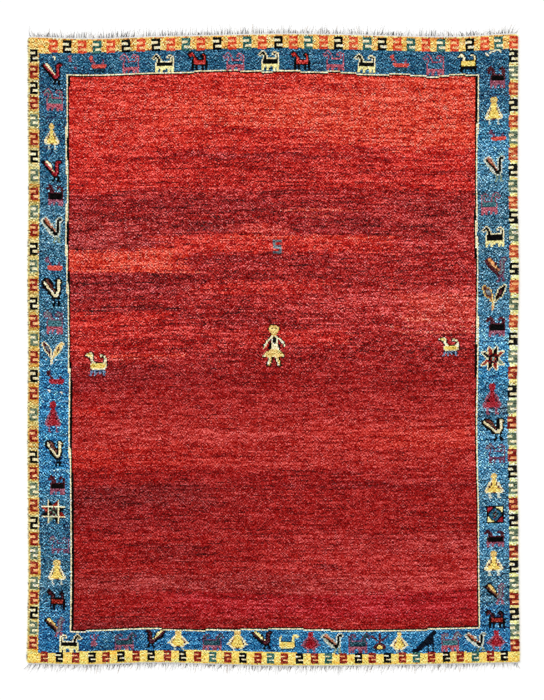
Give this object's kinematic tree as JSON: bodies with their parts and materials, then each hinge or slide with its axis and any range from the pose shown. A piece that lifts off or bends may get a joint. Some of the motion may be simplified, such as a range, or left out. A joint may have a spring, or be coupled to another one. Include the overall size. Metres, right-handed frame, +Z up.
{
  "type": "gabbeh rug",
  "caption": "Flat hand-knotted gabbeh rug with an open field, a figured border band, a hooked guard stripe, overcast sides and warp fringes at both ends.",
  "frame": {"origin": "middle of the underside, on the floor, at the centre of the outer box", "axes": "+X along the width, +Y along the length towards the end with the row of animals, +Z up out of the pile"},
  "size_m": [1.5872, 2.1006, 0.012],
  "materials": {
    "pile": "cut wool pile, matt, streaked reds, blues and yellows",
    "selvedge": "overcast wool, matt",
    "fringe": "twisted ivory and grey wool warps, matt"
  },
  "bodies": {
    "root": {"rug_body": "pile", "selvedge_left": "selvedge", "selvedge_right": "selvedge", "fringe_top": "fringe", "fringe_bottom": "fringe"}
  },
  "joints": []
}
